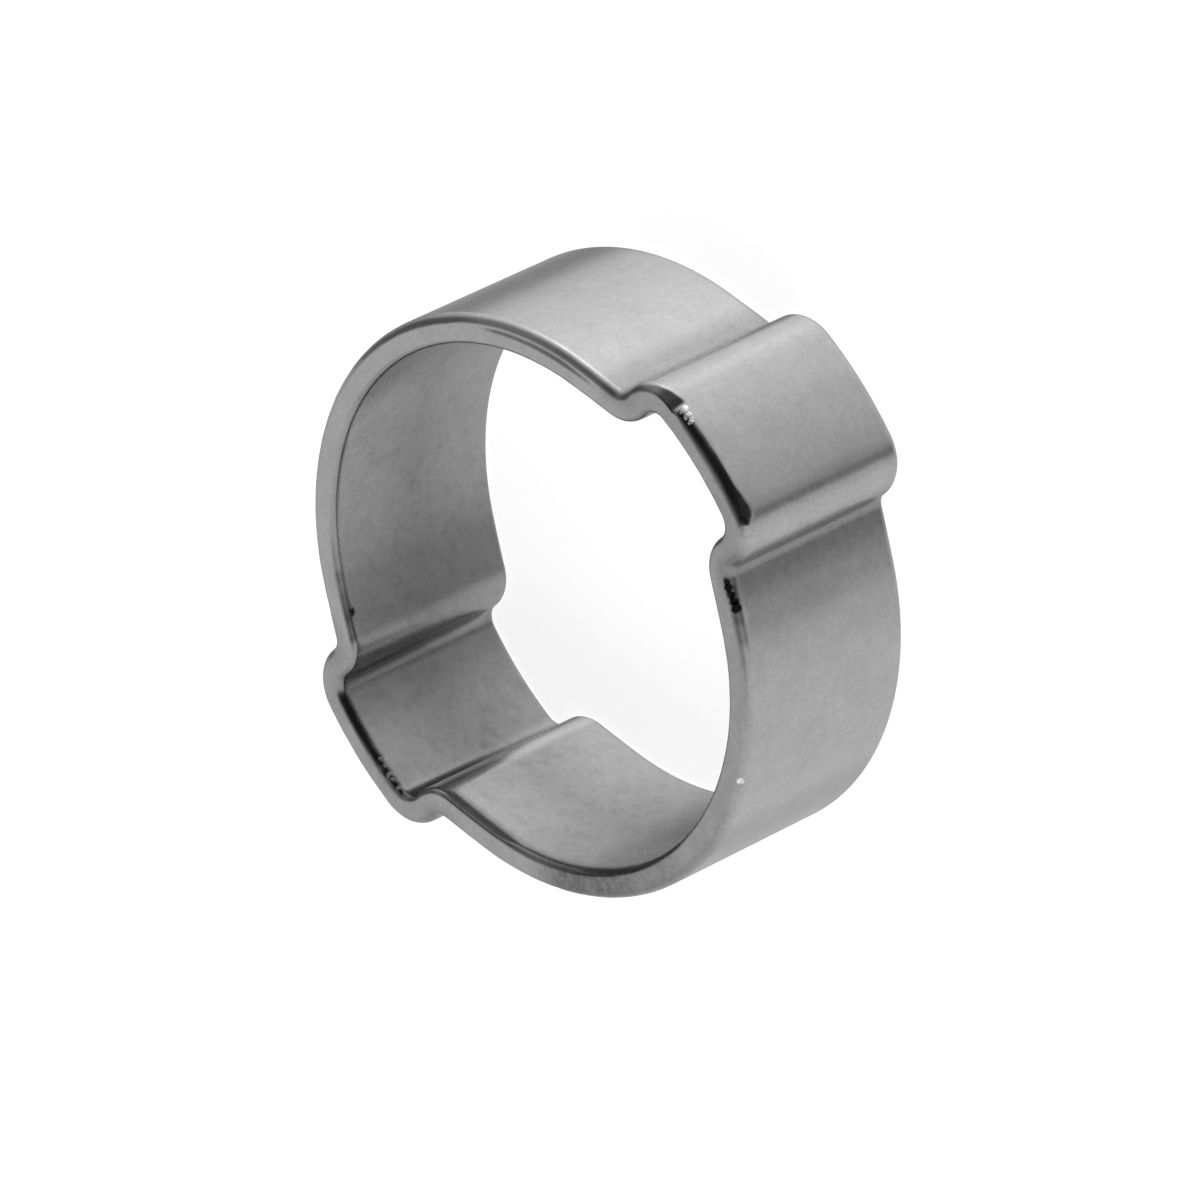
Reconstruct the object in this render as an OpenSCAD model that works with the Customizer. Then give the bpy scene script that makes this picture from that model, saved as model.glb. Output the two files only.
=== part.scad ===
// Two-ear hose clamp: one seamless steel ring, formed into two low ears that are pinched to close it.
// The ring lies on its end face, its bore axis is +Z and its ears point along +X and -X.

/* [Ring] */
// Bore across the round part of the open ring
bore_d = 23; // [16:0.5:30]
// Wall of the ring and its ears
wall = 1.3; // [0.8:0.05:1.6]
// Width of the band, along the bore
band_w = 9.1; // [5:0.1:14]
// Rounding of the two outer edges
outer_edge_r = 0.4; // [0.1:0.05:0.5]
// Rounding of the two inner edges
inner_edge_r = 0.25; // [0.1:0.05:0.35]

/* [Ears] */
// Width across the outside of an ear's two flanks
ear_w = 8.4; // [7:0.1:11]
// Height of an ear's crown above the outside of the ring
ear_h = 2.4; // [1.6:0.1:3.6]
// Bend radius outside each foot, where an ear leaves the ring
foot_r = 0.65; // [0.3:0.05:1]
// Bend radius inside each shoulder, where a flank turns into the crown
shoulder_r = 0.8; // [0.3:0.05:1]
// Radius of the outside of a crown
crown_r = 15.5; // [10:0.5:30]
// Length of the flatter stretch between each foot and the round part
flat_l = 2.1; // [0.6:0.1:3.5]
// Radius of the outside of that flatter stretch
flat_r = 60; // [30:5:200]

/* [Hidden] */
$fn = 96;

// The band's middle line is a closed path of arcs, each tangent to the next, and a straight flank.
// An arc is named after its place, and its angle is the direction of the band's outward normal.
ring_mid = bore_d / 2 + wall / 2;
foot_mid = foot_r + wall / 2;
shoulder_mid = shoulder_r + wall / 2;
crown_top = ring_mid + ear_h;

function along(angle) = [cos(angle), sin(angle)];
function angle_of(v) = atan2(v[1], v[0]);
// A thousandth of a millimetre or of a degree is as fine as the flank's length and the angles are kept.
function kept(v) = round(v * 1000) / 1000;
// The point ra from a and rb from b that lies to the left on the way from a to b
function meet(a, ra, b, rb) =
    let (
        gap = norm(b - a),
        ahead = (b - a) / gap,
        k = (gap * gap + ra * ra - rb * rb) / (2 * gap)
    )
    a + k * ahead + sqrt(ra * ra - k * k) * [-ahead[1], ahead[0]];

// Wanted centres of the bends, for an ear whose flanks stand square
shoulder_y = ear_w / 2 - wall - shoulder_r;
foot_y = ear_w / 2 + foot_r;
crown_want = [crown_top + wall / 2 - crown_r, 0];
shoulder_reach = crown_r - wall - shoulder_r;
shoulder_want = crown_want + [sqrt(shoulder_reach * shoulder_reach - shoulder_y * shoulder_y), shoulder_y];
flat_end = asin(foot_y / (ring_mid + foot_mid)) + flat_l / ring_mid * 180 / PI;
flat_want = (ring_mid + wall / 2 - flat_r) * along(flat_end);
foot_reach = flat_r + foot_r;
square_foot = flat_want
    + [sqrt(foot_reach * foot_reach - pow(foot_y - flat_want[1], 2)), foot_y - flat_want[1]];

// A low ear has no straight in its flank: foot and shoulder then meet at a slant.
flank_l = kept(max(0, shoulder_want[0] - square_foot[0]));
foot_want = flank_l > 0
    ? square_foot
    : meet(flat_want, foot_reach, shoulder_want, foot_mid + shoulder_mid);

// Angles at which one stretch gives way to the next
ring_a = kept(flat_end);
flat_a = kept(angle_of(foot_want - flat_want));
flank_a = flank_l > 0 ? 90 : kept(angle_of(foot_want - shoulder_want));
crown_a = kept(angle_of(shoulder_want - crown_want));

// The last trim of two large radii, which closes the path exactly: flat_mid * p + crown_mid * q = rest
p = along(flat_a) - along(ring_a);
q = [1, 0] - along(crown_a);
rest = [crown_top - flank_l, 0]
    - ring_mid * along(ring_a)
    - foot_mid * along(flat_a)
    + (foot_mid + shoulder_mid) * along(flank_a)
    - shoulder_mid * along(crown_a);
det = p[0] * q[1] - p[1] * q[0];
flat_mid = (rest[0] * q[1] - rest[1] * q[0]) / det;
crown_mid = (p[0] * rest[1] - p[1] * rest[0]) / det;

// Centres of the bends
flat_c = (ring_mid - flat_mid) * along(ring_a);
foot_c = flat_c + (flat_mid + foot_mid) * along(flat_a);
flank_foot = foot_c - foot_mid * along(flank_a);
shoulder_c = flank_foot + [flank_l, 0] - shoulder_mid * along(flank_a);
crown_c = shoulder_c - (crown_mid - shoulder_mid) * along(crown_a);

// Moves its children by v, in a coarse and a fine step, so that no digit of v is lost
module place(v) {
    coarse = [kept(v[0]), kept(v[1])];
    translate(coarse)
        translate(v - coarse)
            children();
}

// What a rounding of radius r takes off one corner: side is +1 or -1 across the wall, end along the bore
module corner_waste(side, end, r) {
    translate([side * (wall / 2 - r), end * (band_w / 2 - r)])
        difference() {
            translate([side * r, end * r])
                square(2 * r, center = true);
            circle(r = r);
        }
}

// Section through the wall, with its outside towards +x
module section() {
    difference() {
        square([wall, band_w], center = true);
        for (end = [-1, 1]) {
            corner_waste(1, end, outer_edge_r);
            corner_waste(-1, end, inner_edge_r);
        }
    }
}

// A stretch that bends round a centre inside the band
module bend(centre, radius, from, to) {
    place(centre)
        rotate_extrude(start = from, angle = to - from)
            place([radius, 0])
                section();
}

// A stretch that bends the other way, round a centre outside the band
module back_bend(centre, radius, from, to) {
    place(centre)
        rotate_extrude(start = from + 180, angle = to - from)
            place([radius, 0])
                mirror([1, 0])
                    section();
}

module flank() {
    if (flank_l > 0)
        place(flank_foot)
            rotate([90, 0, 90])
                linear_extrude(height = flank_l)
                    section();
}

// From the crown to the round part, on one side of the ear
module ear_side() {
    bend(shoulder_c, shoulder_mid, crown_a, flank_a);
    flank();
    back_bend(foot_c, foot_mid, flat_a, flank_a);
    bend(flat_c, flat_mid, flat_a, ring_a);
}

module ear() {
    bend(crown_c, crown_mid, -crown_a, crown_a);
    ear_side();
    mirror([0, 1, 0])
        ear_side();
}

module band() {
    color("silver")
        translate([0, 0, band_w / 2])
            for (turn = [0, 180])
                rotate([0, 0, turn]) {
                    ear();
                    bend([0, 0], ring_mid, ring_a, 180 - ring_a);
                }
}

band();
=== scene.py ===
import math

import bmesh
import bpy
from mathutils import Matrix, Vector, noise


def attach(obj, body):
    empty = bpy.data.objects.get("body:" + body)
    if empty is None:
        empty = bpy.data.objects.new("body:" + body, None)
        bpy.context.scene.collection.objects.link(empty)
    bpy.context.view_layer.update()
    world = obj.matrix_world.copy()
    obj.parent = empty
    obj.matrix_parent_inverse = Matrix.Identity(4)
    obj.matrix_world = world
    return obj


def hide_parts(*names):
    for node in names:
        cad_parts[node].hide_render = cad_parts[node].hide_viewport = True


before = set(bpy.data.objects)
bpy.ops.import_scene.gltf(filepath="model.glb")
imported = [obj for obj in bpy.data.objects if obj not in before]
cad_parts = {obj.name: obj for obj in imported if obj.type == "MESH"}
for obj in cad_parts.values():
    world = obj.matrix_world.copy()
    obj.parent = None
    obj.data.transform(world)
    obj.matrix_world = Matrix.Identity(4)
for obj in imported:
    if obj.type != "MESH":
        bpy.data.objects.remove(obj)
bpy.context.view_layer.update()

# The band: one ring of mild steel, cut from seamless tube, with two low ears pressed outwards in it.
# The cut ends are tumbled until every edge is round, and the whole is zinc-plated to a satin grey.
# It has no joint: pinching the ears draws the ring shut on a hose for good.
mm = 0.001
bore_radius = 11.5 * mm
wall = 1.3 * mm
band_width = 9.1 * mm
outer_edge_radius = 0.4 * mm
inner_edge_radius = 0.25 * mm
ear_width = 8.4 * mm
ear_height = 2.4 * mm
foot_radius = 0.65 * mm
shoulder_radius = 0.8 * mm
crown_radius = 15.5 * mm
flat_length = 2.1 * mm
flat_radius = 60 * mm

# Radii of the wall's middle line, which runs through every bend
ring_mid = bore_radius + wall / 2
foot_mid = foot_radius + wall / 2
shoulder_mid = shoulder_radius + wall / 2
crown_mid = crown_radius - wall / 2
flat_mid = flat_radius - wall / 2


def turned(angle):
    """The direction at an angle from +X, in the plane of the ring."""
    return Vector((math.cos(angle), math.sin(angle), 0))


# Centres of the bends on one side of the ear on +X
crown_centre = Vector((ring_mid + ear_height - crown_mid, 0, 0))
shoulder_y = ear_width / 2 - wall - shoulder_radius
shoulder_reach = crown_mid - shoulder_mid
shoulder_centre = crown_centre + Vector((math.sqrt(shoulder_reach**2 - shoulder_y**2), shoulder_y, 0))
crown_end = math.asin(shoulder_y / shoulder_reach)
foot_y = ear_width / 2 + foot_radius
ring_start = math.asin(foot_y / (ring_mid + foot_mid)) + flat_length / ring_mid
flat_centre = (ring_mid - flat_mid) * turned(ring_start)
flat_start = math.asin((foot_y - flat_centre.y) / (flat_mid + foot_mid))
foot_centre = flat_centre + (flat_mid + foot_mid) * turned(flat_start)
flank_length = shoulder_centre.x - foot_centre.x

# The section through the wall, with its four corners rounded
band_mesh = bmesh.new()
bmesh.ops.create_grid(band_mesh, x_segments=1, y_segments=1, size=0.5)
bmesh.ops.scale(band_mesh, vec=(wall, band_width, 1), verts=band_mesh.verts)
for side, radius, steps in ((1, outer_edge_radius, 12), (-1, inner_edge_radius, 8)):
    corners = [v for v in band_mesh.verts if v.co.x * side > 0]
    bmesh.ops.bevel(
        band_mesh, geom=corners, offset=radius, segments=steps, profile=0.5, affect="VERTICES", material=-1
    )
bmesh.ops.delete(band_mesh, geom=band_mesh.faces[:], context="FACES_ONLY")
long_sides = [e for e in band_mesh.edges if e.calc_length() > band_width / 2]
bmesh.ops.subdivide_edges(band_mesh, edges=long_sides, cuts=45)
# The points along the wall stand closer towards its two edges.
long_half = band_width / 2 - outer_edge_radius
for v in band_mesh.verts:
    if abs(v.co.y) < long_half:
        v.co.y = (v.co.y + long_half * math.sin(v.co.y / long_half * math.pi / 2)) / 2
short_sides = [e for e in band_mesh.edges if abs(e.verts[0].co.y - e.verts[1].co.y) < 1e-9]
bmesh.ops.subdivide_edges(band_mesh, edges=short_sides, cuts=7)
# Each point keeps how far it is from the wall's middle line, and the direction across the wall there.
offset = band_mesh.verts.layers.float.new("offset")
across = band_mesh.verts.layers.float_vector.new("across")
for v in band_mesh.verts:
    v[offset] = v.co.x
    v[across] = turned(0)
bmesh.ops.rotate(band_mesh, verts=band_mesh.verts, matrix=Matrix.Rotation(math.pi / 2, 3, "X"))
bmesh.ops.translate(band_mesh, verts=band_mesh.verts, vec=(ring_mid + ear_height, 0, band_width / 2))


def bend(section, centre, angle, steps):
    """Sweeps the section round a bend's centre and gives back the section at the bend's far end."""
    known = set(band_mesh.verts)
    swept = bmesh.ops.spin(band_mesh, geom=section, cent=centre, axis=(0, 0, 1), angle=angle, steps=steps)
    for v in set(band_mesh.verts) - known:
        outward = (v.co - Vector(centre)) * angle
        outward.z = 0
        v[across] = outward.normalized()
    return swept["geom_last"]


# A quarter of the ring, from the crown's middle to the middle of the round part, and then its mirror images
end = band_mesh.verts[:] + band_mesh.edges[:]
end = bend(end, crown_centre, crown_end, 20)
end = bend(end, shoulder_centre, math.pi / 2 - crown_end, 16)
flank = bmesh.ops.extrude_edge_only(band_mesh, edges=[g for g in end if isinstance(g, bmesh.types.BMEdge)])
flank_verts = [g for g in flank["geom"] if isinstance(g, bmesh.types.BMVert)]
flank_edges = [
    g
    for g in flank["geom"]
    if isinstance(g, bmesh.types.BMEdge) and all(v in flank_verts for v in g.verts)
]
bmesh.ops.translate(band_mesh, verts=flank_verts, vec=(-flank_length, 0, 0))
for v in flank_verts:
    v[across] = turned(math.pi / 2)
end = bend(flank_verts + flank_edges, foot_centre, flat_start - math.pi / 2, 16)
end = bend(end, flat_centre, ring_start - flat_start, 8)
end = bend(end, (0, 0, 0), math.pi / 2 - ring_start, 50)
for axis in ("X", "Y"):
    so_far = band_mesh.verts[:] + band_mesh.edges[:] + band_mesh.faces[:]
    bmesh.ops.mirror(band_mesh, geom=so_far, axis=axis)
bmesh.ops.remove_doubles(band_mesh, verts=band_mesh.verts, dist=0.002 * mm)

# Shearing and tumbling leave the two front edges uneven. Each stop is an azimuth round the ring, and there
# how far the round of the edge reaches across the end face and along the bore, how far a flat cut does,
# and the height of a small step in the end face beside the edge, in mm.
outer_edge = (
    (0, 0.4, 0.4, 0, 0, 0),
    (30, 0.42, 0.42, 0, 0, 0),
    (95, 0.48, 0.48, 0, 0, 0),
    (158, 0.5, 0.5, 0, 0, 0),
    (168.2, 0.46, 0.46, 0, 0, 0),
    (168.8, 0.6, 0.48, 0.24, 0.64, 0),
    (172, 0.64, 0.47, 0.18, 0.5, 0),
    (177, 0.68, 0.45, 0, 0, 0),
    (185, 0.62, 0.44, 0, 0, 0),
    (188, 0.46, 0.43, 0, 0, 0),
    (188.8, 0.44, 0.44, 0.42, 0.58, 0),
    (190.5, 0.44, 0.44, 0.38, 0.46, 0),
    (193.5, 0.44, 0.44, 0.29, 0.31, 0),
    (196.5, 0.42, 0.42, 0.2, 0.2, 0),
    (202, 0.4, 0.4, 0, 0, 0),
    (208, 0.38, 0.3, 0, 0, 0.045),
    (214, 0.38, 0.25, 0, 0, 0.07),
    (230, 0.38, 0.25, 0, 0, 0.06),
    (240, 0.42, 0.42, 0, 0, 0),
    (246, 0.5, 0.5, 0, 0, 0),
    (256, 0.5, 0.5, 0, 0, 0),
    (275, 0.44, 0.44, 0, 0, 0),
    (360, 0.4, 0.4, 0, 0, 0),
)
inner_edge = (
    (0, 0.5, 0.36, 0, 0, 0),
    (4, 0.56, 0.3, 0, 0, 0),
    (9, 0.56, 0.28, 0, 0, 0),
    (13, 0.32, 0.3, 0, 0, 0),
    (20, 0.28, 0.28, 0.14, 0.4, 0),
    (32, 0.28, 0.28, 0.14, 0.4, 0),
    (46, 0.34, 0.38, 0.1, 0.1, 0),
    (60, 0.34, 0.4, 0.18, 0.34, 0),
    (72, 0.32, 0.4, 0.2, 0.38, 0),
    (88, 0.28, 0.34, 0.1, 0.1, 0),
    (98, 0.28, 0.3, 0, 0, 0),
    (262, 0.3, 0.34, 0, 0, 0),
    (330, 0.35, 0.35, 0, 0, 0),
    (346, 0.3, 0.3, 0, 0, 0),
    (350, 0.42, 0.4, 0, 0, 0),
    (360, 0.5, 0.36, 0, 0, 0),
)
# The step starts this far across the end face, and it fades out this far down the wall.
step_place = 0.55 * mm
step_width = 0.11 * mm
step_depth = 1.6 * mm
step_fade = 1 * mm
# Both edges waver a little all round, and the inner one is ragged up to this azimuth.
waver = 0.03 * mm
waver_waves = 1500
ragged = 0.1 * mm
ragged_waves = 6000
ragged_stop = 11
# How much the front end face is darkened: painted shade, with scratches in it
face_shade_and_scratches = (
    (0, 0.16),
    (32, 0.12),
    (42, 0.08),
    (54, 1),
    (66, 1),
    (76, 0.72),
    (84, 0.6),
    (94, 0.28),
    (190, 0.22),
    (204, 0),
    (335, 0),
    (350, 0.16),
    (360, 0.16),
)
# How much darker the wall beside the inner edge is
darker_by_inner_edge = (
    (0, 0),
    (13, 0),
    (20, 0.45),
    (32, 0.45),
    (42, 0.2),
    (56, 0.25),
    (66, 0.5),
    (88, 0.6),
    (98, 0),
    (360, 0),
)


def azimuth_of(point):
    """How far round the bore a point lies from +X, in degrees."""
    return math.degrees(math.atan2(point.y, point.x)) % 360


def held(value):
    """A value held between 0 and 1."""
    return min(1, max(0, value))


def between(stops, azimuth):
    """The values at an azimuth, from a list of stops."""
    for (start, *sizes), (stop, *next_sizes) in zip(stops, stops[1:]):
        if azimuth <= stop:
            share = (azimuth - start) / (stop - start)
            share *= share * (3 - 2 * share)
            return [low + (high - low) * share for low, high in zip(sizes, next_sizes)]


for v in band_mesh.verts:
    azimuth = azimuth_of(v.co)
    outward = Vector((math.copysign(v[across].x, v.co.x), math.copysign(1, v.co.y) * v[across].y, 0))
    uneven = waver * noise.noise(v.co.xy.to_3d() * waver_waves)
    for side, stops in ((1, outer_edge), (-1, inner_edge)):
        sizes = [size * mm for size in between(stops, azimuth)]
        reach_across, reach_along, cut_across, cut_along, step = sizes
        reach = Vector((reach_across + uneven, reach_along + uneven))
        if side < 0 and azimuth < ragged_stop:
            reach.y += ragged * noise.noise(v.co.xy.to_3d() * ragged_waves)
        # How deep the point lies below the wall's face and below the end face
        deep = Vector((wall / 2 - side * v[offset], band_width - v.co.z))
        moved = deep.copy()
        gap = Vector((deep.x / reach.x - 1, deep.y / reach.y - 1))
        if max(gap) < 0 and gap.length > 1:
            gap.normalize()
            moved = Vector((reach.x * (1 + gap.x), reach.y * (1 + gap.y)))
        if cut_along > 0:
            facing = Vector((cut_along, cut_across)).normalized()
            lack = facing.dot(Vector((cut_across, 0)) - moved)
            if lack > 0:
                moved += facing * lack
        if step > 0:
            beside_edge = held((step_place - moved.x) / step_width)
            moved.y += step * beside_edge * held((step_depth - deep.y) / step_fade)
        v.co -= outward * side * (moved.x - deep.x)
        v.co.z -= moved.y - deep.y

bmesh.ops.recalc_face_normals(band_mesh, faces=band_mesh.faces)
for face in band_mesh.faces:
    face.smooth = True

# Painted shade: the bore side is darkened, most in the middle of its width and less towards its ends. The
# hollow side of a bend is darkened too: outside the feet and inside the shoulders.
bore_shade = 0.44
bore_edge_gain = 0.19
crest_gain = 0.4
crest_margin = 0.1 * mm
crest_start = 0.56
crest_fade = 0.15
pitted_foot_shade = 0.38
foot_shade = 0.26
foot_shade_depth = 0.7
shoulder_shade = 0.12
shoulder_shade_depth = 1
dark_band_depth = 0.3 * mm
dark_band_stop = 0.75 * mm
dark_band_fade = 0.35 * mm
face_shade_stop = 0.3 * mm
# Painted shade and the darker band by the inner edge, kept as the share of tone taken away
painted_shade_and_band = band_mesh.verts.layers.float.new("painted_shade_and_band")
shade_and_scuff = band_mesh.verts.layers.float.new("shade_and_scuff")
for v in band_mesh.verts:
    inside = held((inner_edge_radius - v[offset] - wall / 2) / inner_edge_radius)
    from_middle = abs(v.co.z / (band_width / 2) - 1)
    tone_left = 1 - inside * (bore_shade - bore_edge_gain * from_middle)
    place = Vector((abs(v.co.x), abs(v.co.y), 0))
    # The painted shade of the bore side is made lighter along the crest of one foot's roll into the bore.
    crest = place - foot_centre
    if v.co.x > 0 < v.co.y and crest.length < foot_radius + wall + crest_margin:
        tone_left += inside * crest_gain * held((-crest.normalized().y - crest_start) / crest_fade)
    for centre, radius, loss, depth in (
        (foot_centre, foot_radius, pitted_foot_shade if v.co.x < 0 < v.co.y else foot_shade, foot_shade_depth),
        (shoulder_centre, shoulder_radius, shoulder_shade, shoulder_shade_depth),
    ):
        away = ((place - centre).length - radius) / wall
        tone_left *= 1 - loss * held(1 - away / depth)
    # Darker along the inner edge on one side, and painted shade with scratches on the lowest part of the
    # front end face
    azimuth = azimuth_of(v.co)
    below = band_width - v.co.z
    on_wall = max(0, 1 - (v[offset] + wall / 2) / dark_band_depth)
    tone_left *= 1 - between(darker_by_inner_edge, azimuth)[0] * on_wall * held((dark_band_stop - below) / dark_band_fade)
    v[painted_shade_and_band] = 1 - tone_left
    v[shade_and_scuff] = max(0, 1 - below / face_shade_stop) * between(face_shade_and_scratches, azimuth)[0]
band_mesh.verts.layers.float_vector.remove(across)

mesh = bpy.data.meshes.new("clamp_band")
band_mesh.to_mesh(mesh)
band_mesh.free()
clamp_band = bpy.data.objects.new("clamp_band", mesh)
bpy.context.scene.collection.objects.link(clamp_band)

satin_zinc = bpy.data.materials.new("satin_zinc")
satin_zinc.use_nodes = True
nodes = satin_zinc.node_tree.nodes
links = satin_zinc.node_tree.links
metal = nodes["Principled BSDF"]
metal.inputs["Metallic"].default_value = 1
place = nodes.new("ShaderNodeTexCoord").outputs["Object"]


def pattern(waves, detail, roughness=0.6):
    """A noise over the metal, with that many waves to the metre."""
    clouds = nodes.new("ShaderNodeTexNoise")
    clouds.inputs["Scale"].default_value = waves
    clouds.inputs["Detail"].default_value = detail
    clouds.inputs["Roughness"].default_value = roughness
    links.new(place, clouds.inputs["Vector"])
    return clouds.outputs["Fac"]


def spread(value, low, high, to_low, to_high):
    """Maps a value between two limits on to another span."""
    fade = nodes.new("ShaderNodeMapRange")
    fade.inputs["From Min"].default_value = low
    fade.inputs["From Max"].default_value = high
    fade.inputs["To Min"].default_value = to_low
    fade.inputs["To Max"].default_value = to_high
    links.new(value, fade.inputs["Value"])
    return fade.outputs["Result"]


def product(a, b):
    """Multiplies two values."""
    times = nodes.new("ShaderNodeMath")
    times.operation = "MULTIPLY"
    links.new(a, times.inputs[0])
    links.new(b, times.inputs[1])
    return times.outputs["Value"]


def kept_value(name):
    """What a point of the mesh keeps under that name."""
    attribute = nodes.new("ShaderNodeAttribute")
    attribute.attribute_name = name
    return attribute.outputs["Fac"]


def darkened(value, loss):
    """Takes a share of a value away."""
    return product(value, spread(loss, 0, 1, 1, 0))


# Clouds in the plating and a fine grain; nearly all of a noise lies within this span.
noise_span = (0.3, 0.7)
tone = spread(pattern(700, 3), *noise_span, 0.95, 1.05)
tone = product(tone, spread(pattern(3500, 3), *noise_span, 0.96, 1.04))
tone = product(tone, spread(pattern(6500, 2), *noise_span, 0.95, 1.05))
# Painted shade on the bore side and in the creases, and the darker band by the inner edge, with blotches in
# them; then the painted shade and scratches on the front end face
tone = darkened(tone, kept_value("painted_shade_and_band"))
blotches = spread(pattern(1500, 3), 0.5, 0.8, 0, 0.55)
tone = darkened(tone, product(blotches, kept_value("painted_shade_and_band")))
scratches_and_shade = spread(pattern(3000, 4, 0.7), 0.38, 0.62, 0.42, 0.64)
tone = darkened(tone, product(scratches_and_shade, kept_value("shade_and_scuff")))


# A spot's outline wanders by this much times a noise. It fades between two distances past its radius, in mm,
# which allow for the noise's middle value.
wander = 0.45 * mm
wander_waves = 5000
spot_full = 0.18
spot_gone = 0.27


def mark(value, spot, radius, share):
    """Multiplies a value by a share within a small spot, given in millimetres, with a ragged edge."""
    distance = nodes.new("ShaderNodeVectorMath")
    distance.operation = "DISTANCE"
    links.new(place, distance.inputs[0])
    distance.inputs[1].default_value = Vector(spot) * mm
    outline = nodes.new("ShaderNodeMath")
    outline.operation = "MULTIPLY_ADD"
    links.new(pattern(wander_waves, 3), outline.inputs[0])
    outline.inputs[1].default_value = wander
    links.new(distance.outputs["Value"], outline.inputs[2])
    full = (radius + spot_full) * mm
    gone = (radius + spot_gone) * mm
    return product(value, spread(outline.outputs["Value"], full, gone, share, 1))


# The parts with painted shade or the darker band are rougher too.
shade_and_band_roughness = 0.18
rough = nodes.new("ShaderNodeMath")
rough.operation = "MULTIPLY_ADD"
links.new(kept_value("painted_shade_and_band"), rough.inputs[0])
rough.inputs[1].default_value = shade_and_band_roughness
links.new(spread(pattern(2500, 3, 0.5), *noise_span, 0.19, 0.25), rough.inputs[2])
rough = rough.outputs["Value"]
# Black pits along the edge below one foot and beside another
for spot, radius, share in (
    ((-11.88, 4.5, 9.06), 0.15, 0.12),
    ((-11.78, 4.75, 9.04), 0.18, 0.1),
    ((-11.68, 5.0, 9.0), 0.18, 0.1),
    ((-11.58, 5.25, 8.97), 0.21, 0.08),
    ((-11.44, 5.55, 8.94), 0.23, 0.06),
    ((10.33, -5.15, 8.81), 0.06, 0.5),
    ((10.44, -4.95, 8.79), 0.11, 0.25),
    ((10.52, -4.81, 8.77), 0.12, 0.2),
):
    tone = mark(tone, spot, radius, share)
# Nicks with a painted glint: their colour is raised to stand for a highlight. Those that aren't rubbed
# smooth, in the dark line of an edge, are also rough and stand proud.
painted_glint_brightness = 2
nick_roughness = 2.6
nick_height = 20
height = pattern(900, 3)
for spot, radius, rubbed in (
    ((-5.95, 11.16, 9.01), 0.11, True),
    ((-5.84, 11.22, 9.01), 0.1, True),
    ((-15.06, -2.1, 8.72), 0.1, True),
    ((-15.08, -1.85, 8.75), 0.1, True),
    ((-15.1, -1.6, 8.78), 0.08, True),
    ((-15.02, -2.05, 8.86), 0.1, False),
    ((-15.03, -1.8, 8.88), 0.1, False),
    ((-15.02, -1.5, 8.91), 0.08, False),
    ((13.94, 0.67, 8.89), 0.05, False),
    ((13.91, 1.06, 8.92), 0.08, False),
    ((13.89, 1.48, 8.94), 0.06, False),
    ((13.86, 1.7, 8.94), 0.07, False),
    ((13.77, 2.21, 8.94), 0.06, False),
):
    tone = mark(tone, spot, radius, painted_glint_brightness)
    if not rubbed:
        rough = mark(rough, spot, radius, nick_roughness)
        height = mark(height, spot, radius, nick_height)
# A tone of 1 is a base colour of one half, and a painted glint's is the brightest there is.
grey = nodes.new("ShaderNodeCombineColor")
level = spread(tone, 0, painted_glint_brightness, 0, 1)
for channel in ("Red", "Green", "Blue"):
    links.new(level, grey.inputs[channel])
links.new(grey.outputs["Color"], metal.inputs["Base Color"])
links.new(rough, metal.inputs["Roughness"])
grain_height = 0.003 * mm
grain = nodes.new("ShaderNodeBump")
grain.inputs["Strength"].default_value = 1
grain.inputs["Distance"].default_value = grain_height
links.new(height, grain.inputs["Height"])
links.new(grain.outputs["Normal"], metal.inputs["Normal"])
mesh.materials.append(satin_zinc)

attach(clamp_band, "root")
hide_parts("band")

# The floor: a plain white sheet under the clamp, which takes its shadow.
# The metal doesn't mirror it but the pale studio round the clamp, as in the photograph.
sheet_radius = 3
sheet_colour = (0.9, 0.9, 0.9, 1)
sheet_glow = 0.85
floor_mesh = bmesh.new()
bmesh.ops.create_circle(floor_mesh, cap_ends=True, segments=64, radius=sheet_radius)
mesh = bpy.data.meshes.new("floor")
floor_mesh.to_mesh(mesh)
floor_mesh.free()
floor = bpy.data.objects.new("floor", mesh)
bpy.context.scene.collection.objects.link(floor)

white_sheet = bpy.data.materials.new("white_sheet")
white_sheet.use_nodes = True
nodes = white_sheet.node_tree.nodes
links = white_sheet.node_tree.links
nodes.clear()
output = nodes.new("ShaderNodeOutputMaterial")
ray = nodes.new("ShaderNodeLightPath")
paper = nodes.new("ShaderNodeBsdfDiffuse")
paper.inputs["Color"].default_value = sheet_colour
white = nodes.new("ShaderNodeEmission")
white.inputs["Strength"].default_value = sheet_glow
clear = nodes.new("ShaderNodeBsdfTransparent")
seen = nodes.new("ShaderNodeAddShader")
links.new(paper.outputs["BSDF"], seen.inputs[0])
links.new(white.outputs["Emission"], seen.inputs[1])
passed = nodes.new("ShaderNodeMath")
passed.operation = "MAXIMUM"
links.new(ray.outputs["Is Glossy Ray"], passed.inputs[0])
links.new(ray.outputs["Is Shadow Ray"], passed.inputs[1])
choice = nodes.new("ShaderNodeMixShader")
links.new(passed.outputs["Value"], choice.inputs["Fac"])
links.new(seen.outputs["Shader"], choice.inputs[1])
links.new(clear.outputs["BSDF"], choice.inputs[2])
links.new(choice.outputs["Shader"], output.inputs["Surface"])
mesh.materials.append(white_sheet)

# The studio: soft light all round, a long softbox on one side and a dark room behind the camera.
# Each zone is a direction from the clamp, the angles at which it is full and gone, and its brightness.
# The camera sees plain white instead.
world = bpy.data.worlds.new("studio")
bpy.context.scene.world = world
world.use_nodes = True
nodes = world.node_tree.nodes
links = world.node_tree.links
nodes.clear()
output = nodes.new("ShaderNodeOutputWorld")
around = nodes.new("ShaderNodeTexCoord")


def aimed(azimuth, elevation):
    """The direction at an azimuth from +X and an elevation above the floor, both in degrees."""
    lift = math.radians(elevation)
    flat = turned(math.radians(azimuth)) * math.cos(lift)
    return flat + Vector((0, 0, math.sin(lift)))


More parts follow.
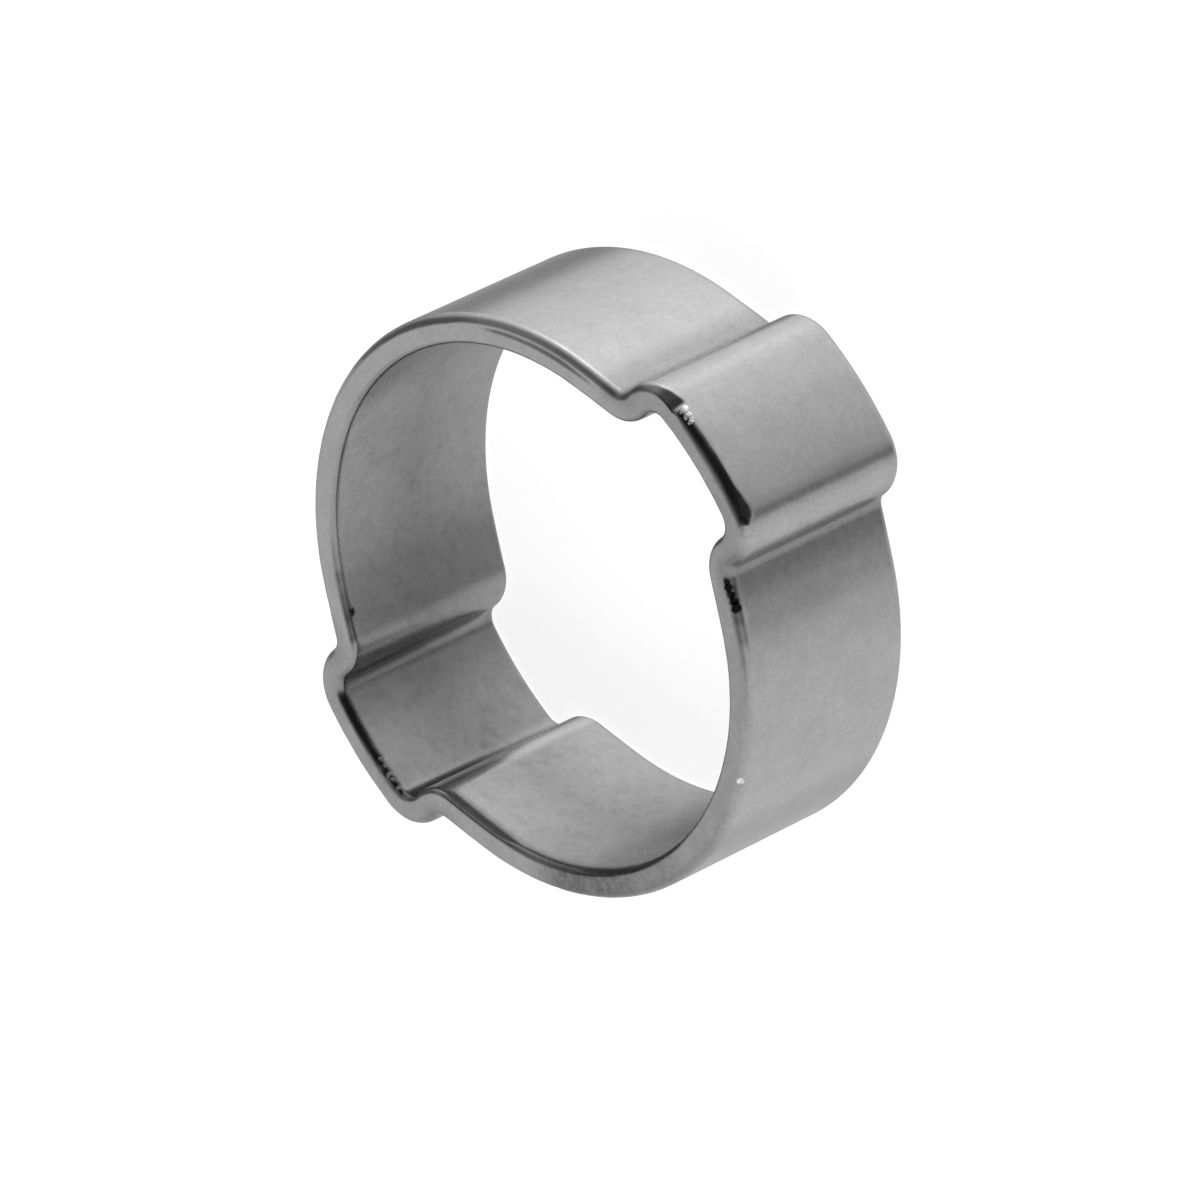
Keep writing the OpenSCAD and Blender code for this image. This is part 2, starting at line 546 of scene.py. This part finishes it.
zones = (
    ("dim_ceiling", 245, 26, 81, 179, 0.27),
    ("white_card", 60, 9, 62, 69, 0.75),
    ("dark_top", 194, 64, 16, 54, 0.01),
    ("softbox", 243, -33, 1, 71, 1.07),
    ("dark_room", 162, 15, 22, 38, 0.003),
    ("dark_flag", 320, 20, 23, 27, 0.125),
    ("end_card", 12, 2, 44, 50, 0.57),
    ("low_flag", 138, -43, 2, 12, 0.15),
    ("dark_strip", 318, -40, 1, 12, 0.27),
    ("low_light", 248, -20, 16, 25, 1.3),
    ("corner", 191, -31, 1, 11, 0.565),
    ("lamp", 246, -14, 6, 14, 2.0),
    ("end_lamp", 350, 38, 12, 26, 0.68),
)
plain_level = 0.71
level = None
for name, azimuth, elevation, full, gone, brightness in zones:
    facing = nodes.new("ShaderNodeVectorMath")
    facing.operation = "DOT_PRODUCT"
    facing.label = name
    links.new(around.outputs["Generated"], facing.inputs[0])
    facing.inputs[1].default_value = aimed(azimuth, elevation)
    fade = nodes.new("ShaderNodeMapRange")
    fade.interpolation_type = "SMOOTHSTEP"
    fade.inputs["From Min"].default_value = math.cos(math.radians(gone))
    fade.inputs["From Max"].default_value = math.cos(math.radians(full))
    links.new(facing.outputs["Value"], fade.inputs["Value"])
    blend = nodes.new("ShaderNodeMix")
    blend.data_type = "FLOAT"
    links.new(fade.outputs["Result"], blend.inputs["Factor"])
    blend.inputs[2].default_value = plain_level
    if level:
        links.new(level, blend.inputs[2])
    blend.inputs[3].default_value = brightness
    level = blend.outputs[0]
studio = nodes.new("ShaderNodeBackground")
white = nodes.new("ShaderNodeBackground")
for background in (studio, white):
    background.inputs["Color"].default_value = (1, 1, 1, 1)
links.new(level, studio.inputs["Strength"])
ray = nodes.new("ShaderNodeLightPath")
passed = nodes.new("ShaderNodeMath")
passed.operation = "MAXIMUM"
links.new(ray.outputs["Is Camera Ray"], passed.inputs[0])
links.new(ray.outputs["Is Transmission Ray"], passed.inputs[1])
choice = nodes.new("ShaderNodeMixShader")
links.new(passed.outputs["Value"], choice.inputs["Fac"])
links.new(studio.outputs["Background"], choice.inputs[1])
links.new(white.outputs["Background"], choice.inputs[2])
links.new(choice.outputs["Shader"], output.inputs["Surface"])

# The camera: a long lens that looks down on the clamp and is rolled as in the photograph.
camera = bpy.data.objects.new("camera", bpy.data.cameras.new("camera"))
bpy.context.scene.collection.objects.link(camera)
bpy.context.scene.camera = camera
aim_point = Vector((0.5674, 0.8552, 5.0776)) * mm
camera_azimuth = 170.588
camera_elevation = 38.517
camera_distance = 488.29
camera_roll = -115.527
toward_camera = aimed(camera_azimuth, camera_elevation)
camera.location = aim_point + toward_camera * camera_distance * mm
camera.rotation_mode = "QUATERNION"
roll = Matrix.Rotation(math.radians(camera_roll), 3, "Z").to_quaternion()
camera.rotation_quaternion = toward_camera.to_track_quat("Z", "Y") @ roll
camera.data.sensor_width = 36
camera.data.lens = 354.14
camera.data.clip_start = 0.01
camera.data.clip_end = 10

bpy.context.scene.view_settings.view_transform = "Standard"
